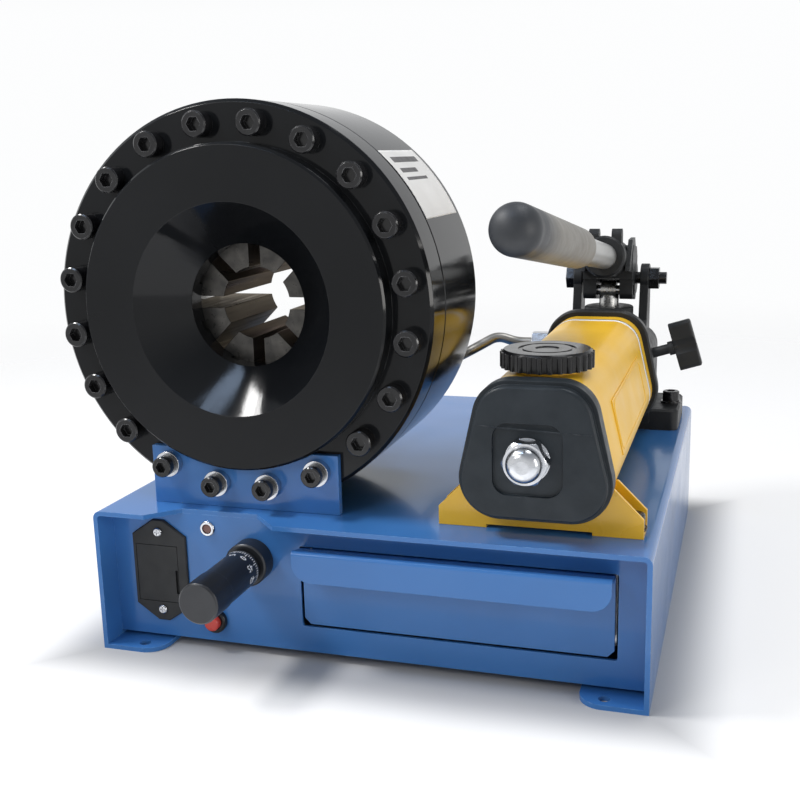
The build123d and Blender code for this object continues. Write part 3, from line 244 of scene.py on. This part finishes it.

# finishes: colour drifts between two tones, edges turn paler (partly wear, partly painted highlight), roughness
# wanders, bump gives the grain

finishes = {
    "bluePaint": {"tones": ((0.038, 0.148, 0.400), (0.047, 0.174, 0.455)), "cloud": 9, "rough": (0.13, 0.24),
                  "grain": 420, "bump": 0.05, "edge": (0.20, 0.42, 0.74), "wear": 0.5,
                  "sockets": {"Specular IOR Level": 0.3, "Coat Weight": 0.15, "Coat Roughness": 0.04}},
    "headPaint": {"tones": ((0.0050, 0.0056, 0.0066), (0.0080, 0.0088, 0.0102)), "cloud": 11, "rough": (0.07, 0.15),
                  "grain": 500, "bump": 0.04, "edge": (0.09, 0.095, 0.10), "wear": 0.55,
                  "sockets": {"Specular IOR Level": 0.20}},
    # boltBlack's pale edge tone is mostly a painted glint round the rims
    "boltBlack": {"tones": ((0.005, 0.005, 0.006), (0.012, 0.012, 0.013)), "cloud": 160, "rough": (0.13, 0.26),
                  "grain": 1600, "bump": 0.05, "edge": (0.26, 0.26, 0.27), "wear": 0.7,
                  "sockets": {"Specular IOR Level": 0.40}},
    "dieSteel": {"tones": ((0.045, 0.045, 0.045), (0.090, 0.087, 0.082)), "cloud": 130, "rough": (0.24, 0.42),
                 "grain": 1500, "bump": 0.12, "edge": (0.16, 0.145, 0.12), "wear": 0.6, "along": (1, 0.06, 1),
                 "sockets": {"Metallic": 0.7, "Specular Tint": (0.42, 0.33, 0.21, 1)}},
    "groundSteel": {"tones": ((0.42, 0.42, 0.41), (0.60, 0.59, 0.57)), "cloud": 200, "rough": (0.22, 0.38),
                    "grain": 1800, "bump": 0.08, "along": (1, 0.05, 1), "sockets": {"Metallic": 1.0}},
    "zincPlate": {"tones": ((0.44, 0.455, 0.48), (0.60, 0.61, 0.635)), "cloud": 110, "rough": (0.16, 0.28),
                  "grain": 1200, "bump": 0.05, "sockets": {"Metallic": 1.0}},
    "tankYellow": {"tones": ((0.84, 0.485, 0.022), (0.92, 0.545, 0.036)), "cloud": 14, "rough": (0.30, 0.44),
                   "grain": 900, "bump": 0.10, "edge": (0.95, 0.62, 0.14), "wear": 0.35,
                   "sockets": {"Specular IOR Level": 0.28, "Coat Weight": 0.08, "Coat Roughness": 0.22}},
    "bracketYellow": {"tones": ((0.80, 0.445, 0.016), (0.88, 0.505, 0.026)), "cloud": 18, "rough": (0.24, 0.36),
                      "grain": 700, "bump": 0.07, "edge": (0.95, 0.66, 0.22), "wear": 0.5,
                      "sockets": {"Coat Weight": 0.2, "Coat Roughness": 0.15}},
    # capPlastic's blue cast in both tones is painted sheen
    "capPlastic": {"tones": ((0.010, 0.0145, 0.019), (0.020, 0.026, 0.032)), "cloud": 60, "rough": (0.34, 0.52),
                   "grain": 1400, "bump": 0.16, "edge": (0.10, 0.105, 0.11), "wear": 0.45,
                   "sockets": {"Specular IOR Level": 0.26}},
    "glossPlastic": {"tones": ((0.006, 0.006, 0.007), (0.010, 0.010, 0.011)), "cloud": 40, "rough": (0.12, 0.24),
                     "grain": 1100, "bump": 0.06, "edge": (0.11, 0.11, 0.12), "wear": 0.5,
                     "sockets": {"Specular IOR Level": 0.35}},
    "mattePlastic": {"tones": ((0.016, 0.017, 0.018), (0.026, 0.027, 0.028)), "cloud": 50, "rough": (0.46, 0.60),
                     "grain": 2200, "bump": 0.20, "edge": (0.07, 0.07, 0.075), "wear": 0.4,
                     "sockets": {"Specular IOR Level": 0.30}},
    "anodised": {"tones": ((0.014, 0.015, 0.018), (0.022, 0.024, 0.028)), "cloud": 70, "rough": (0.30, 0.42),
                 "grain": 1800, "bump": 0.06, "edge": (0.20, 0.21, 0.23), "wear": 0.6, "along": (1, 0.2, 1),
                 "sockets": {"Metallic": 0.3}},
    "castBlack": {"tones": ((0.008, 0.009, 0.010), (0.017, 0.018, 0.019)), "cloud": 45, "rough": (0.34, 0.54),
                  "grain": 650, "bump": 0.38, "edge": (0.085, 0.085, 0.085), "wear": 0.55,
                  "sockets": {"Specular IOR Level": 0.28}},
    "tubeSteel": {"tones": ((0.24, 0.23, 0.21), (0.42, 0.40, 0.37)), "cloud": 55, "rough": (0.26, 0.42),
                  "grain": 1500, "bump": 0.10, "sockets": {"Metallic": 0.95}},
    "handleSteel": {"tones": ((0.36, 0.36, 0.35), (0.52, 0.52, 0.51)), "cloud": 40, "rough": (0.30, 0.46),
                    "grain": 1300, "bump": 0.10, "along": (1, 0.1, 1), "sockets": {"Metallic": 0.85}},
    "redPlastic": {"tones": ((0.46, 0.040, 0.030), (0.56, 0.060, 0.045)), "cloud": 60, "rough": (0.25, 0.38),
                   "grain": 1500, "bump": 0.08, "sockets": {}},
    "lensRed": {"tones": ((0.085, 0.016, 0.008), (0.13, 0.028, 0.014)), "cloud": 300, "rough": (0.06, 0.14),
                "grain": 900, "bump": 0.04, "sockets": {"Coat Weight": 0.25, "Coat Roughness": 0.04}},
    "sealRubber": {"tones": ((0.012, 0.012, 0.012), (0.022, 0.022, 0.021)), "cloud": 120, "rough": (0.5, 0.68),
                   "grain": 2000, "bump": 0.15, "sockets": {}},
    "cellCan": {"tones": ((0.20, 0.21, 0.23), (0.32, 0.33, 0.35)), "cloud": 60, "rough": (0.28, 0.4),
                "grain": 1500, "bump": 0.05, "sockets": {"Metallic": 0.4}},
    "labelWhite": {"tones": ((0.78, 0.76, 0.73), (0.86, 0.84, 0.81)), "cloud": 35, "rough": (0.34, 0.46),
                   "grain": 1200, "bump": 0.05, "sockets": {}},
    "labelDark": {"tones": ((0.045, 0.042, 0.042), (0.075, 0.070, 0.068)), "cloud": 90, "rough": (0.34, 0.46),
                  "grain": 1200, "bump": 0.05, "sockets": {}},
    "markWhite": {"tones": ((0.72, 0.73, 0.74), (0.82, 0.82, 0.83)), "cloud": 400, "rough": (0.45, 0.55),
                  "grain": 2500, "bump": 0.05, "sockets": {}},
}
gripLook = {"front": (0.020, 0.023, 0.028), "sleeve": ((0.175, 0.163, 0.142), (0.225, 0.211, 0.186)),
            "edge": 52, "soft": 20, "wander": 2.5, "noseDrop": 14, "tilt": 7.5, "wanderScale": 45, "cloud": 30,
            "surface": {"cloud": 40, "rough": (0.42, 0.58), "grain": 1500, "bump": 0.12}}
unevenness = {"spread": (0.3, 0.7), "toneSpread": (0.32, 0.68), "roughScale": 2.3, "grainDepth": 0.35}
# the paler edge tone: partly worn edges, partly a painted highlight along them
edgeWearAndGlint = {"reach": 0.9, "samples": 4, "lean": (0.99, 0.80), "scale": 240, "gaps": (0.42, 0.66)}


def edgeShare(tree, coords, amount):
    # how far a rounded-off normal leans from the true one, broken up by noise
    rounded = tree.nodes.new("ShaderNodeBevel")
    rounded.samples = edgeWearAndGlint["samples"]
    rounded.inputs["Radius"].default_value = edgeWearAndGlint["reach"] * mm
    true = tree.nodes.new("ShaderNodeNewGeometry")
    dot = tree.nodes.new("ShaderNodeVectorMath")
    dot.operation = "DOT_PRODUCT"
    link(tree, rounded.outputs["Normal"], dot.inputs[0])
    link(tree, true.outputs["Normal"], dot.inputs[1])
    lean = remap(tree, dot.outputs["Value"], *edgeWearAndGlint["lean"], 0, 1)
    broken = remap(tree, noise(tree, coords, edgeWearAndGlint["scale"], 4), *edgeWearAndGlint["gaps"], 0, amount)
    return combine(tree, "MULTIPLY", lean, broken)


def addGrain(tree, shader, coords, look):
    along = look.get("along", (1, 1, 1))
    cloud = noise(tree, coords, look["cloud"] * unevenness["roughScale"], 5, along)
    link(tree, remap(tree, cloud, *unevenness["spread"], *look["rough"]), shader.inputs["Roughness"])
    bump = tree.nodes.new("ShaderNodeBump")
    bump.inputs["Strength"].default_value = look["bump"]
    bump.inputs["Distance"].default_value = unevenness["grainDepth"] * mm
    link(tree, noise(tree, coords, look["grain"], 3, along), bump.inputs["Height"])
    link(tree, bump.outputs["Normal"], shader.inputs["Normal"])


def makeFinish(name, look):
    material, tree, shader, coords = startFinish(name)
    for socket, value in look["sockets"].items():
        shader.inputs[socket].default_value = value
    cloud = noise(tree, coords, look["cloud"], 5, look.get("along", (1, 1, 1)))
    colour = blendTones(tree, remap(tree, cloud, *unevenness["toneSpread"], 0, 1), *look["tones"])
    # edges take the edge tone: partly wear, partly painted edge highlight
    if "edge" in look:
        colour = blendTones(tree, edgeShare(tree, coords, look["wear"]), colour, look["edge"])
    link(tree, colour, shader.inputs["Base Color"])
    addGrain(tree, shader, coords, look)
    return material


def makeGripFinish():
    # a darker front end on a paler sleeve, the edge between them wandering a little
    material, tree, shader, coords = startFinish("gripSleeve")
    low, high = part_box("handle_grip")
    tilt = radians(gripLook["tilt"])
    nose = Vector(((low.x + high.x) / 2, low.y, high.z - gripLook["noseDrop"] * mm))
    fromNose = tree.nodes.new("ShaderNodeVectorMath")
    fromNose.operation = "SUBTRACT"
    fromNose.inputs[1].default_value = nose
    back = tree.nodes.new("ShaderNodeVectorMath")
    back.operation = "DOT_PRODUCT"
    back.inputs[1].default_value = (0, cos(tilt), -sin(tilt))
    link(tree, coords, fromNose.inputs[0])
    link(tree, fromNose.outputs[0], back.inputs[0])
    wander = gripLook["wander"] * mm
    shift = remap(tree, noise(tree, coords, gripLook["wanderScale"], 4), *unevenness["spread"], -wander, wander)
    cloud = remap(tree, noise(tree, coords, gripLook["cloud"], 6), *unevenness["spread"], 0, 1)
    sleeve = blendTones(tree, cloud, *gripLook["sleeve"])
    ends = [(gripLook["edge"] + side * gripLook["soft"]) * mm for side in (-1, 1)]
    past = remap(tree, combine(tree, "ADD", back.outputs["Value"], shift), *ends, 0, 1)
    link(tree, blendTones(tree, past, gripLook["front"], sleeve), shader.inputs["Base Color"])
    addGrain(tree, shader, coords, gripLook["surface"])
    return material


paint = {name: makeFinish(name, look) for name, look in finishes.items()}
paint["gripSleeve"] = makeGripFinish()
print("finishes made:", len(paint))

# every CAD piece that shows: its finish, and how much its edges are broken, in mm

dressed = {
    "base_wrap": ("bluePaint", 0.5), "front_panel": ("bluePaint", 0.35), "rear_panel": ("bluePaint", 0.35),
    "drawer_front": ("bluePaint", 0.3), "drawer_tray": ("bluePaint", 0.3), "drawer_runners": ("zincPlate", 0.2),
    "support_plate": ("bluePaint", 0.5), "support_spacers": ("zincPlate", 0.3), "support_bolts": ("boltBlack", 0.4),
    "front_cover": ("headPaint", 1.1), "cylinder_body": ("headPaint", 0.5), "cover_bolts": ("boltBlack", 0.4),
    "ring_piston": ("groundSteel", 0.3),
    "battery_housing": ("mattePlastic", 0.25), "battery_tray": ("mattePlastic", 0.25), "battery": ("cellCan", 0.2),
    "battery_screws": ("zincPlate", 0.08), "indicator_bezel": ("zincPlate", 0.1), "indicator_lens": ("lensRed", 0),
    "micrometer_sleeve": ("anodised", 0.25), "micrometer_thimble": ("anodised", 0.2),
    "micrometer_spindle": ("groundSteel", 0.2), "switch_body": ("glossPlastic", 0.2),
    "switch_cap": ("redPlastic", 0.2),
    "reservoir": ("tankYellow", 0.35), "reservoir_end_cap": ("capPlastic", 0.4), "acorn_nut": ("zincPlate", 0.3),
    "filler_cap": ("glossPlastic", 0.25), "filler_gasket": ("sealRubber", 0),
    "pump_foot_bracket": ("bracketYellow", 0.35), "front_foot_bolts": ("boltBlack", 0.25),
    "rear_foot_bolts": ("boltBlack", 0.25), "pump_head": ("castBlack", 0.7), "gland_nut": ("castBlack", 0.4),
    "pump_piston": ("groundSteel", 0.2), "piston_pin": ("zincPlate", 0.3), "side_links": ("castBlack", 0.6),
    "pivot_bolt": ("boltBlack", 0.3), "pivot_nut": ("boltBlack", 0.3), "handle_block": ("castBlack", 0.6),
    "handle_tube": ("handleSteel", 0.3), "handle_grip": ("gripSleeve", 0), "release_knob": ("mattePlastic", 0.3),
    "head_port_fitting": ("zincPlate", 0.3), "pump_port_fitting": ("zincPlate", 0.3),
    "hydraulic_tube": ("tubeSteel", 0),
    "piston_seal": ("sealRubber", 0), "rod_seal": ("sealRubber", 0), "tie_rod": ("groundSteel", 0),
}
dressed.update({f"master_die_{number}": ("dieSteel", 0.45) for number in range(1, 9)})
softening = {"merge": 0.002, "crease": 28, "flat": 0.5, "rounds": 2}


def pieceName(node):
    first, *rest = node.split("_")
    return first + "".join(word.capitalize() for word in rest)


def addPiece(name, mesh, body):
    piece = bpy.data.objects.new(name, mesh)
    bpy.context.scene.collection.objects.link(piece)
    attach(piece, body)
    return piece


def softenNode(node, finish, width):
    sheet = bmesh.new()
    sheet.from_mesh(frame["nodes"][node].data)
    for layer in list(sheet.loops.layers.uv):
        sheet.loops.layers.uv.remove(layer)
    bmesh.ops.remove_doubles(sheet, verts=sheet.verts, dist=softening["merge"] * mm)
    bmesh.ops.dissolve_limit(sheet, angle_limit=radians(softening["flat"]), verts=sheet.verts, edges=sheet.edges)
    mesh = bpy.data.meshes.new(pieceName(node))
    for face in sheet.faces:
        face.smooth = True
    sheet.to_mesh(mesh)
    sheet.free()
    if "custom_normal" in mesh.attributes:
        mesh.attributes.remove(mesh.attributes["custom_normal"])
    mesh.materials.clear()
    mesh.materials.append(paint[finish])
    piece = addPiece(pieceName(node), mesh, bodyOf[node])
    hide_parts(node)
    bevel = piece.modifiers.new("brokenEdges", "BEVEL")
    bevel.width = width * mm
    bevel.segments = softening["rounds"]
    bevel.limit_method = "ANGLE"
    bevel.angle_limit = radians(softening["crease"])
    bevel.harden_normals = False
    even = piece.modifiers.new("evenShading", "WEIGHTED_NORMAL")
    even.keep_sharp = True


def paintNode(node, finish):
    thing = frame["nodes"][node]
    for index in range(len(thing.material_slots)):
        thing.material_slots[index].material = paint[finish]
    if not thing.material_slots:
        thing.data.materials.append(paint[finish])


for node, (finish, width) in dressed.items():
    if width > 0:
        softenNode(node, finish, width)
    else:
        paintNode(node, finish)
print("pieces dressed:", len(dressed))

# shapes shared by the added pieces


def meshFrom(name, points, faces, *materials):
    mesh = bpy.data.meshes.new(name)
    mesh.from_pydata([tuple(p) for p in points], [], faces)
    for material in materials:
        mesh.materials.append(material)
    return mesh


def facesOutward(mesh):
    sheet = bmesh.new()
    sheet.from_mesh(mesh)
    bmesh.ops.recalc_face_normals(sheet, faces=sheet.faces)
    sheet.to_mesh(mesh)
    sheet.free()
    return mesh


def roundedOutline(corners, radii, steps=8):
    # a closed outline with each corner turned into an arc
    points = []
    for index, corner in enumerate(corners):
        before, after = Vector(corners[index - 1]), Vector(corners[(index + 1) % len(corners)])
        here = Vector(corner)
        back, ahead = (before - here).normalized(), (after - here).normalized()
        half = acos(max(-1, min(1, back.dot(ahead)))) / 2
        centre = here + (back + ahead).normalized() * (radii[index] / sin(half))
        first = here + back * (radii[index] / tan(half)) - centre
        last = here + ahead * (radii[index] / tan(half)) - centre
        turn = atan2(first.x * last.y - first.y * last.x, first.dot(last))
        for step in range(steps + 1):
            angle = turn * step / steps
            points.append(centre + Vector((first.x * cos(angle) - first.y * sin(angle),
                                           first.x * sin(angle) + first.y * cos(angle))))
    return points


raisedLine = {"shape": ((-0.5, 0.0), (-0.42, 0.6), (-0.2, 1.0), (0.2, 1.0), (0.42, 0.6), (0.5, 0.0)),
              "sunk": 0.05}
labelFilm = {"thickness": 0.1}


def ridge(name, path, closed, width, height, material):
    # a raised line with a rounded back, along a path of (place, outward, sideways) triples
    points, faces = [], []
    for place, outward, sideways in path:
        points += [place + sideways * (across * width * mm) + outward * ((rise * height - raisedLine["sunk"]) * mm)
                   for across, rise in raisedLine["shape"]]
    count, ring = len(path), len(raisedLine["shape"])
    for index in range(count if closed else count - 1):
        here, there = index * ring, ((index + 1) % count) * ring
        faces += [(here + k, here + (k + 1) % ring, there + (k + 1) % ring, there + k) for k in range(ring)]
    if not closed:
        faces += [tuple(range(ring)), tuple(range((count - 1) * ring, count * ring))]
    return facesOutward(meshFrom(name, points, faces, material))


def twoTones(mesh, dark):
    # the second finish on the faces marked dark
    for face, isDark in zip(mesh.polygons, dark):
        face.material_index = 1 if isDark else 0
        face.use_smooth = True


def thicken(piece, side):
    thick = piece.modifiers.new("film", "SOLIDIFY")
    thick.thickness = labelFilm["thickness"] * mm
    thick.offset = side


# crimping head: generic label on the cylinder

headLabel = {"angles": (24.5, 47.8), "y": (-125.8, -56.0), "lift": 0.12, "cells": (44, 30),
             "bars": ((0.12, 0.20, 0.14, 0.86), (0.30, 0.36, 0.14, 0.60), (0.44, 0.48, 0.14, 0.74))}


def makeHeadLabel():
    low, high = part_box("cylinder_body")
    centre = Vector(((low.x + high.x) / 2, 0, (low.z + high.z) / 2))
    radius = (high.x - low.x) / 2 + headLabel["lift"] * mm
    around, along = headLabel["cells"]
    a0, a1 = (radians(a) for a in headLabel["angles"])
    y0, y1 = (y * mm for y in headLabel["y"])
    points, faces, dark = [], [], []
    for i in range(around + 1):
        angle = a0 + (a1 - a0) * i / around
        for j in range(along + 1):
            y = y0 + (y1 - y0) * j / along
            points.append(centre + Vector((radius * cos(angle), y, radius * sin(angle))))
    for i in range(around):
        for j in range(along):
            corner = i * (along + 1) + j
            faces.append((corner, corner + along + 1, corner + along + 2, corner + 1))
            u, v = 1 - (i + 0.5) / around, (j + 0.5) / along
            dark.append(any(u0 < u < u1 and v0 < v < v1 for u0, u1, v0, v1 in headLabel["bars"]))
    mesh = meshFrom("headLabel", points, faces, paint["labelWhite"], paint["labelDark"])
    twoTones(mesh, dark)
    thicken(addPiece("headLabel", mesh, "root"), 1)


makeHeadLabel()
print("head label made")

# gauge: ticks and numbers round the rear of the thimble

gaugeScale = {"ticks": 50, "labelEvery": 5, "short": 2.2, "long": 3.8, "tickWide": 0.36, "digit": 6.0,
              "sunk": 0.45, "fromRear": 3.2, "gap": 1.4, "startAngle": 62}


def makeGaugeScale():
    low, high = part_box("micrometer_thimble")
    centre = Vector(((low.x + high.x) / 2, 0, (low.z + high.z) / 2))
    radius = (high.x - low.x) / 2 - gaugeScale["sunk"] * mm  # just proud of the thimble's narrower rear
    rear = high.y - gaugeScale["fromRear"] * mm
    points, faces = [], []

    def onThimble(around, y):
        angle = around / radius + radians(gaugeScale["startAngle"])
        return centre + Vector((radius * cos(angle), y, radius * sin(angle)))

    def addPatch(corners):
        start = len(points)
        points.extend(onThimble(*corner) for corner in corners)
        faces.append(tuple(range(start, start + len(corners))))

    whole = 2 * pi * radius
    for tick in range(gaugeScale["ticks"]):
        isLong = tick % gaugeScale["labelEvery"] == 0
        reach = (gaugeScale["long"] if isLong else gaugeScale["short"]) * mm
        at, half = whole * tick / gaugeScale["ticks"], gaugeScale["tickWide"] * mm / 2
        addPatch([(at - half, rear), (at + half, rear), (at + half, rear - reach), (at - half, rear - reach)])
        if isLong:
            letters = bpy.data.curves.new("digit", "FONT")
            letters.body = str(tick)
            letters.size = gaugeScale["digit"] * mm
            letters.align_x = "LEFT"
            letters.align_y = "CENTER"
            letters.resolution_u = 3
            holder = bpy.data.objects.new("digit", letters)
            flat = bpy.data.meshes.new_from_object(holder)
            bpy.data.objects.remove(holder)
            top = rear - reach - gaugeScale["gap"] * mm
            start = len(points)
            points.extend(onThimble(at - v.co.y, top - v.co.x) for v in flat.vertices)
            faces.extend(tuple(start + k for k in face.vertices) for face in flat.polygons)
    mesh = facesOutward(meshFrom("gaugeScale", points, faces, paint["markWhite"]))
    addPiece("gaugeScale", mesh, "thimble")


makeGaugeScale()
print("gauge scale made")

# pump: level line on the end cap, raised frame on the tank's sides, band near the tank's rear

tankShape = {"footHalf": 50.2, "topHalf": 31.7, "height": 82.0, "footRound": 24.0, "topRound": 22.0, "inset": 1.5}
levelLine = {"half": 33.0, "height": 57.0, "sag": 3.2, "curve": 0.7, "width": 0.9, "rise": 0.35, "steps": 24}
badgeFrame = {"back": 140.0, "length": 145.0, "tall": 30.0, "round": 7.0, "width": 1.3, "rise": 0.45,
              "share": 0.52, "out": 0.6}
tankBand = {"back": (242.0, 250.0), "edgeShare": 0.72, "lift": 0.15, "cornerSteps": 14,
            "span": (8, 44)}  # the outline's points it covers, from low on the right side over the top


def pumpAxis():
    low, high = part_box("reservoir_end_cap")
    return (low.x + high.x) / 2, low.y, low.z


def makeLevelLine():
    x, front, floor = pumpAxis()
    path = []
    for step in range(levelLine["steps"] + 1):
        share = step / levelLine["steps"] * 2 - 1
        height = levelLine["height"] - levelLine["sag"] * (share * 0.5 + 0.5) ** levelLine["curve"]
        path.append((Vector((x + share * levelLine["half"] * mm, front, floor + height * mm)),
                     Vector((0, -1, 0)), Vector((0, 0, 1))))
    mesh = ridge("levelLine", path, False, levelLine["width"], levelLine["rise"], paint["capPlastic"])
    addPiece("levelLine", mesh, "root")


def makeBadgeFrame(side, name):
    x, front, floor = pumpAxis()
    slope = (tankShape["footHalf"] - tankShape["topHalf"]) / tankShape["height"]
    lean = atan2(slope, 1)
    high = tankShape["height"] * badgeFrame["share"]
    outward = Vector((side * cos(lean), 0, sin(lean)))
    upward = Vector((-side * sin(lean), 0, cos(lean)))
    centre = Vector((x + side * (tankShape["footHalf"] - tankShape["inset"] - slope * high) * mm,
                     front + badgeFrame["back"] * mm, floor + high * mm)) + outward * (badgeFrame["out"] * mm)
    end, edge = badgeFrame["length"] / 2, badgeFrame["tall"] / 2
    outline = roundedOutline([(-end, -edge), (end, -edge), (end, edge), (-end, edge)], [badgeFrame["round"]] * 4)
    path = []
    for index, point in enumerate(outline):
        run = outline[(index + 1) % len(outline)] - outline[index - 1]
        along = (Vector((0, 1, 0)) * run.x + upward * run.y).normalized()
        place = centre + Vector((0, 1, 0)) * (point.x * mm) + upward * (point.y * mm)
        path.append((place, outward, outward.cross(along)))
    mesh = ridge(name, path, True, badgeFrame["width"], badgeFrame["rise"], paint["tankYellow"])
    addPiece(name, mesh, "root")


def tankOutline(lift):
    inset = tankShape["inset"] - lift
    foot, top = tankShape["footHalf"] - inset, tankShape["topHalf"] - inset
    high = tankShape["height"] - inset
    footRound, topRound = tankShape["footRound"] - inset, tankShape["topRound"] - inset
    return roundedOutline([(foot, inset), (top, high), (-top, high), (-foot, inset)],
                          [footRound, topRound, topRound, footRound], tankBand["cornerSteps"])


def makeTankBand():
    x, front, floor = pumpAxis()
    first, last = tankBand["span"]
    run = tankOutline(tankBand["lift"])[first:last]
    y0, y1 = (front + back * mm for back in tankBand["back"])
    edge = y0 + (y1 - y0) * tankBand["edgeShare"]
    points, faces, dark = [], [], []
    for point in run:
        points += [Vector((x + point.x * mm, y, floor + point.y * mm)) for y in (y0, edge, y1)]
    for index in range(len(run) - 1):
        for strip in range(2):
            corner = index * 3 + strip
            faces.append((corner, corner + 1, corner + 4, corner + 3))
            dark.append(strip == 1)
    mesh = meshFrom("tankBand", points, faces, paint["labelWhite"], paint["labelDark"])
    twoTones(mesh, dark)
    thicken(addPiece("tankBand", facesOutward(mesh), "root"), -1)


makeLevelLine()
makeBadgeFrame(1, "badgeFrameRight")
makeBadgeFrame(-1, "badgeFrameLeft")
makeTankBand()
print("pump details made")
